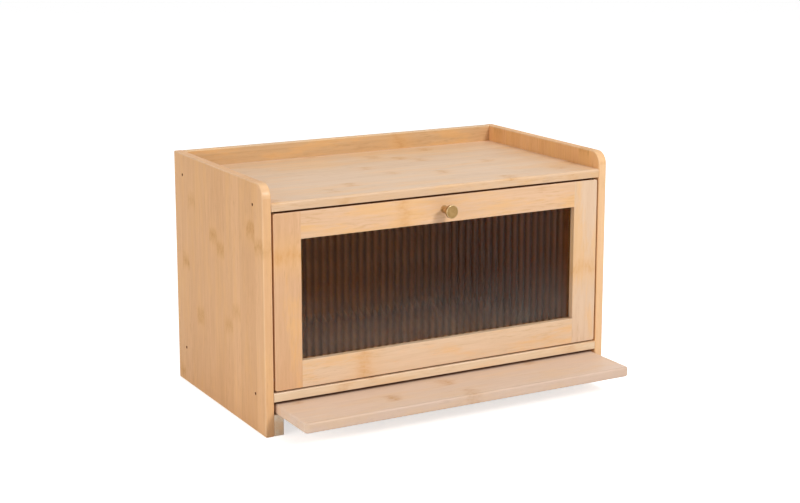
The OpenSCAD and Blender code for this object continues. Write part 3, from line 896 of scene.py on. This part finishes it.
board, low, high = rail("top_rail", "below")
for x in CATCHES:
    drill(board, (x, high.y, CATCH_HEIGHT), (0, -1, 0), CATCH_HOLE, 1.55 * MM)
drill(board, (0, high.y, knob_centre.z), (0, -1, 0), 4.08 * MM, 2.5 * MM)
# painted shade on the rail's top face in its gap under the top board
finish_piece("rail_top", board, wood_rail_top, "door", "bamboo_pale", "top_rail",
             grain="x", shaded_gaps=[("z", high.z, 0.95)])
board, low, high = rail("bottom_rail", "above")
# faint painted shade on the rail's lower face in its gap
finish_piece("rail_bottom", board, wood_rail_bottom, "door", "bamboo_pale", "bottom_rail",
             grain="x", shaded_gaps=[("z", low.z, 0.15)])

# %% [markdown]
# ## Door frame: the stiles
#
# A stile has its rebate only behind the window, and its foot and head are whole. So its lower
# half is built up from a block: the block's upper face is cut in four, and all but the quarter
# of the rebate grows up to the middle. Mirroring that half gives the rest.

# %% Stiles
def stile(name, node, material, outward):
    low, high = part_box(node)
    middle = (low.z + high.z) / 2
    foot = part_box("bottom_rail")[1].z - REBATE
    window_x, outer_x = (low.x, high.x) if outward > 0 else (high.x, low.x)
    rebate_x = window_x + outward * REBATE
    board = blank(low, Vector((high.x, high.y, foot)))
    for place, way in (((rebate_x, 0, 0), (1, 0, 0)), ((0, REBATE_Y, 0), (0, 1, 0))):
        cap = [g for g in everything(board) if on_planes(g, z=foot)]
        bmesh.ops.bisect_plane(board, geom=cap, plane_co=place, plane_no=way)

    def in_rebate(face):
        centre = face.calc_center_median()
        return (centre.x - rebate_x) * outward < 0 and centre.y > REBATE_Y

    keep = [f for f in faces_on(board, z=foot) if not in_rebate(f)]
    made = bmesh.ops.extrude_face_region(board, geom=keep)["geom"]
    bmesh.ops.delete(board, geom=keep, context="FACES")
    move(board, made, (0, 0, middle - foot))
    bmesh.ops.delete(board, geom=faces_on(board, z=middle), context="FACES_ONLY")
    bmesh.ops.delete(board, geom=[e for e in board.edges if e.is_wire], context="EDGES")
    bmesh.ops.mirror(board, geom=everything(board), matrix=Matrix.Translation((0, 0, -middle)),
                     merge_dist=NEAR, axis="Z")
    bmesh.ops.remove_doubles(board, verts=board.verts, dist=NEAR)
    bmesh.ops.recalc_face_normals(board, faces=board.faces)
    bmesh.ops.dissolve_limit(board, angle_limit=0.01, verts=board.verts, edges=board.edges)
    ease(board, [e for z in (low.z, high.z) for e in edges_on(board, x=outer_x, z=z)], 2 * MM, 5)
    window = ({"x": window_x}, {"x": rebate_x}, {"z": foot}, {"z": 2 * middle - foot})
    for y in (low.y, high.y):
        rim = [e for e in edges_on(board, y=y) if not any(on_planes(e, **plane) for plane in window)]
        ease(board, rim, DOOR_ARRIS)
    ease(board, edges_on(board, x=window_x, y=low.y), 0.3 * MM, 2)
    _, y, z = middle_of("right_pivot_pin" if outward > 0 else "left_pivot_pin")
    drill(board, (outer_x, y, z), (-outward, 0, 0), 2.53 * MM, 14 * MM)
    # painted shade on the stile's window edge and on both ends, in their gaps
    finish_piece(name, board, material, "door", "bamboo_pale", node, grain="z",
                 shaded_gaps=[("x", window_x, 0.3), ("z", high.z, 0.95), ("z", low.z, 0.15)])


stile("stile_left", "left_stile", wood_stile_left, -1)
stile("stile_right", "right_stile", wood_stile_right, 1)

# %% [markdown]
# ## Beads
#
# Four thin beads lie behind the glass and hold it in the rebate. Only their inner, rear corner
# shows, so that one is rounded.

# %% Beads
for name, node, material, axis, end in (
    ("bead_top", "top_bead", wood_bead, "z", 0), ("bead_bottom", "bottom_bead", wood_bead, "z", 1),
    ("bead_left", "left_bead", wood_bead_up, "x", 1), ("bead_right", "right_bead", wood_bead_up, "x", 0),
):
    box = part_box(node)
    board = blank(*box)
    ease(board, edges_on(board, y=box[1].y, **{axis: box[end][AXES[axis]]}), ARRIS)
    finish_piece(name, board, material, "door", "bamboo", node, grain="x" if axis == "z" else "z")

# %% [markdown]
# ## The pane
#
# The pane is flat behind and has a row of shallow round ribs in front, which blur what lies in
# the box into upright stripes. One rib's arc is spun from a point and repeated across the pane.
# The row is then pulled back to a flat section and up to a sheet of glass. Real ribs bend the
# light as they should, which a bump would not do.

# %% Pane
rib_radius = ((RIB_PITCH / 2) ** 2 + RIB_HEIGHT**2) / (2 * RIB_HEIGHT)
half_turn = math.asin(RIB_PITCH / 2 / rib_radius)
ribs = math.ceil((pane_high.x - pane_low.x) / RIB_PITCH / 2)  # on each side of the middle one

pane = new_board()
centre = Vector((-ribs * RIB_PITCH, pane_low.y + rib_radius, pane_low.z))
first = pane.verts.new(centre - Vector((RIB_PITCH / 2, rib_radius * math.cos(half_turn), 0)))
bmesh.ops.spin(pane, geom=[first], cent=centre, axis=(0, 0, 1), angle=2 * half_turn, steps=12)
one_rib = pane.verts[:] + pane.edges[:]
for count in range(1, 2 * ribs + 1):
    copy = bmesh.ops.duplicate(pane, geom=one_rib)["geom"]
    move(pane, copy, (count * RIB_PITCH, 0, 0))
bmesh.ops.remove_doubles(pane, verts=pane.verts, dist=NEAR)
back_row = only(BMVert, bmesh.ops.extrude_edge_only(pane, edges=pane.edges[:])["geom"])
bmesh.ops.scale(pane, vec=(1, 0, 1), verts=back_row)
move(pane, back_row, (0, pane_high.y, 0))
for x, way in ((pane_low.x, -1), (pane_high.x, 1)):
    bmesh.ops.bisect_plane(pane, geom=everything(pane), plane_co=(x, 0, 0), plane_no=(way, 0, 0),
                           clear_outer=True)
made = bmesh.ops.extrude_face_region(pane, geom=pane.faces[:], use_keep_orig=True)["geom"]
move(pane, made, (0, 0, pane_high.z - pane_low.z))
finish_piece("pane", pane, glass, "door", "pane", "reeded_pane", smooth=20)

# %% [markdown]
# ## The knob
#
# The knob is turned from one brass rod: a foot on the door, a neck that widens almost straight
# towards the front, and a flat disc with a softened rim. A profile spun once round its axis
# makes it, as a lathe does. The rim is marked brighter, for rubbed brass and a painted
# highlight, and the neck gets a weaker painted highlight.

# %% Knob
def turned(profile, place, steps=64):
    """Spins a profile of (radius, height) pairs round Z and puts the result in its place."""
    made = new_board()
    points = [made.verts.new((radius, 0, height)) for radius, height in profile]
    edges = [made.edges.new(pair) for pair in zip(points, points[1:])]
    bmesh.ops.spin(made, geom=points + edges, cent=(0, 0, 0), axis=(0, 0, 1), angle=math.tau,
                   steps=steps, use_merge=True)
    bmesh.ops.remove_doubles(made, verts=made.verts, dist=NEAR / 10)
    bmesh.ops.recalc_face_normals(made, faces=made.faces)
    bmesh.ops.transform(made, matrix=place, verts=made.verts)
    return made


def arc(centre, radius, start, end, steps):
    """Points on an arc in a profile, from one angle to another in degrees."""
    angles = (math.radians(start + (end - start) * n / steps) for n in range(steps + 1))
    return [(centre[0] + radius * math.cos(a), centre[1] + radius * math.sin(a)) for a in angles]


reach = knob_high.y - knob_low.y
disc, disc_t, rim = (knob_high.x - knob_low.x) / 2, 3 * MM, 0.45 * MM
neck, foot, foot_t = 3.6 * MM, 3.9 * MM, 1.2 * MM
neck_l = reach - disc_t - foot_t
neck_end = disc - 0.8 * MM
dish = 0.08 * MM  # how far the disc's face lies below its rim
profile = [(0, 0), (foot, 0), (foot, foot_t - 0.3 * MM), (foot - 0.3 * MM, foot_t)]
profile += [(neck + (neck_end - neck) * (n / 12) ** 1.35, foot_t + neck_l * n / 12) for n in range(13)]
profile += arc((disc - rim, reach - disc_t + rim), rim, -90, 0, 5)
profile += arc((disc - rim, reach - rim), rim, 0, 90, 5)
profile += [(disc - 0.6 * MM, reach), (disc - 0.7 * MM, reach - dish), (0, reach - dish)]
on_door = Matrix.Translation((knob_centre.x, knob_high.y, knob_centre.z))
knob = turned(profile, on_door @ Matrix.Rotation(math.radians(90), 4, "X"))
for face in knob.faces:
    middle = face.calc_center_median()
    # the rim: rubbed brass and a painted highlight
    if (middle - knob_centre).xz.length > disc - rim and middle.y < knob_low.y + rim:
        mark_faces(knob, [face], "arris", 0.7)
    # the neck: a weaker painted highlight
    if knob_low.y + disc_t < middle.y < knob_high.y - foot_t:
        mark_faces(knob, [face], "arris", 0.3)
finish_piece("knob", knob, brass, "door", "brass", "door_knob", smooth=30)

# %% [markdown]
# ## Screws
#
# All the screws have a cross recess. A head starts as a grid of 64 cells. The two middle rows
# and columns make the cross and are pushed down, and the outer edge is bridged to a ring that
# becomes the head. One screw is made and then copied to each of its places.

# %% Screws
CROSS_GRID, CROSS_ARM, CROSS_DEPTH = 0.33, 0.08, 0.16  # in shares of the head's width
CROSS_TAPER = 0.7


def cross_screw(head, *steps):
    """A screw that looks up, from the head's width and its (radius, depth) steps down."""
    made = bmesh.new()
    bmesh.ops.create_grid(made, x_segments=8, y_segments=8, size=head * CROSS_GRID)
    outline = [e for e in made.edges if e.is_boundary]
    cross = [f for f in made.faces if min(abs(c) for c in f.calc_center_median().xy) < head * CROSS_ARM]
    bmesh.ops.create_circle(made, segments=32, radius=head / 2)
    rim = [e for e in made.edges if e.is_wire]
    bmesh.ops.bridge_loops(made, edges=outline + rim)
    down = only(BMVert, bmesh.ops.extrude_face_region(made, geom=cross)["geom"])
    bmesh.ops.delete(made, geom=cross, context="FACES")
    move(made, down, (0, 0, -head * CROSS_DEPTH))
    bmesh.ops.scale(made, vec=(CROSS_TAPER, CROSS_TAPER, 1), verts=down)
    now = head / 2
    for radius, depth in steps:
        grown = bmesh.ops.extrude_edge_only(made, edges=rim)["geom"]
        rim = [e for e in only(BMEdge, grown) if e.is_boundary]
        bmesh.ops.scale(made, vec=(radius / now, radius / now, 1), verts=only(BMVert, grown))
        move(made, grown, (0, 0, -depth))
        now = radius
    bmesh.ops.contextual_create(made, geom=rim)
    return made


def wood_screw(length):
    """A countersunk screw, 3 mm thick: its cone, its shank and its point."""
    shank, cone, point = 1.5 * MM, 1.5 * MM, 1.5 * MM
    return cross_screw(6 * MM, (shank, cone), (shank, length - cone - point), (0.3 * MM, point))


def at_places(made, places):
    """Copies one shape to several places."""
    original = everything(made)
    for place in places[1:]:
        copy = bmesh.ops.duplicate(made, geom=original)["geom"]
        bmesh.ops.transform(made, matrix=place, verts=only(BMVert, copy))
    bmesh.ops.transform(made, matrix=places[0], verts=only(BMVert, original))
    return made


def facing(point, way):
    """A place whose +Z, the side that a screw's head looks to, points one way."""
    turn = Vector(way).to_track_quat("Z", "Y").to_matrix().to_4x4()
    return Matrix.Translation(point) @ turn


in_runners = [facing((side * 180.5 * MM, front_y + y, RUNNER_SCREW_HEIGHT), (-side, 0, 0))
              for side in (-1, 1) for y in RUNNER_SCREWS]
in_strip = [facing((x, front_y + 19.2 * MM, 208.5 * MM), (0, 0, -1)) for x in STRIP_SCREWS]
rail_back = front_y + 13 * MM
in_strikes = [facing((x, rail_back, CATCH_HEIGHT), (0, 1, 0)) for x in CATCHES]
in_knob = [facing((0, rail_back, knob_centre.z), (0, 1, 0))]
flat_head = cross_screw(8 * MM, (4 * MM, 2.4 * MM), (2 * MM, 0), (2 * MM, 18.6 * MM))
for name, screw, places, body, node in (
    ("screws_runner", wood_screw(16 * MM), in_runners, "cabinet", "runner_screws"),
    ("screws_strip", wood_screw(21 * MM), in_strip, "cabinet", "strip_screws"),
    ("screws_strike", wood_screw(9 * MM), in_strikes, "door", "strike_screws"),
    ("screw_knob", flat_head, in_knob, "door", "knob_screw"),
):
    finish_piece(name, at_places(screw, places), steel, body, "steel", node, smooth=30)

# %% [markdown]
# ## Small parts that keep their solid
#
# Pins, nails, magnets, steel discs and dowels are plain turned shapes, and the solids already
# have them right. They only need their finish.

# %% Finish for the small parts
for names, material in (
    (("side_nails", "back_nails"), dark_steel),
    (("door_stop_pins", "left_pivot_pin", "right_pivot_pin", "strike_discs"), steel),
    (("catch_magnets",), nickel),
    (("frame_dowels",), wood_bead),
):
    for name in names:
        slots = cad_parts[name].data.materials
        slots.clear()
        slots.append(material)
print("kept solids:", sorted(n for n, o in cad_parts.items() if not o.hide_render))

# %% [markdown]
# ## Floor and light
#
# The box stands in a plain white studio. A soft lamp at the upper right in front of it gives the
# shapes their shade, a broad one fills in from the left, another hangs overhead, and the white
# surroundings do the rest. The floor shows white to the camera without sending more light to the
# box, and still keeps the box's soft shadow.

# %% World, floor and lamps
WORLD_LIGHT = 0.30
FLOOR_GLOW = 0.64


def see_white(plain):
    """1 for rays that look at the studio directly, in a shine or through glass, else plain."""
    rays = new_node("ShaderNodeLightPath").outputs
    seen = calc("MAXIMUM", rays["Is Camera Ray"], rays["Is Glossy Ray"])
    seen = calc("MAXIMUM", seen, rays["Is Transmission Ray"])
    looking = calc("LESS_THAN", rays["Diffuse Depth"], 0.5)
    return add("MapRange", calc("*", seen, looking), 0.0, 1.0, plain, 1.0)


world = bpy.data.worlds.new("white studio")
bpy.context.scene.world = world
world.use_nodes = True
bench.tree = world.node_tree
background = bench.tree.nodes["Background"]
background.inputs["Color"].default_value = (1, 1, 1, 1)
link(see_white(WORLD_LIGHT), background.inputs["Strength"])

sheet = bmesh.new()
bmesh.ops.create_grid(sheet, x_segments=1, y_segments=1, size=20)
mesh = bpy.data.meshes.new("floor")
sheet.to_mesh(mesh)
sheet.free()
floor = bpy.data.objects.new("floor", mesh)
bpy.context.scene.collection.objects.link(floor)
made, shader = new_material("white floor")
set_plain(shader, Base_Color=(0.90, 0.90, 0.90, 1), Roughness=0.8, Emission_Color=(1, 1, 1, 1))
seen = new_node("ShaderNodeLightPath").outputs["Is Camera Ray"]
link(calc("*", seen, FLOOR_GLOW), shader.inputs["Emission Strength"])
mesh.materials.append(made)


def soft_lamp(name, place, size, power):
    data = bpy.data.lights.new(name, "AREA")
    data.shape, data.size, data.energy = "SQUARE", size, power
    lamp = bpy.data.objects.new(name, data)
    lamp.location = place
    lamp.rotation_euler = (Vector(place) - MIDDLE).to_track_quat("Z", "Y").to_euler()
    bpy.context.scene.collection.objects.link(lamp)


MIDDLE = Vector((0, 0, 0.12))
soft_lamp("key", (0.75, -2.3, 1.6), 0.6, 37.3)
soft_lamp("left", (-2.4, -0.6, 0.7), 1.6, 25.0)
soft_lamp("overhead", (0.2, -0.1, 2.6), 1.8, 19.0)
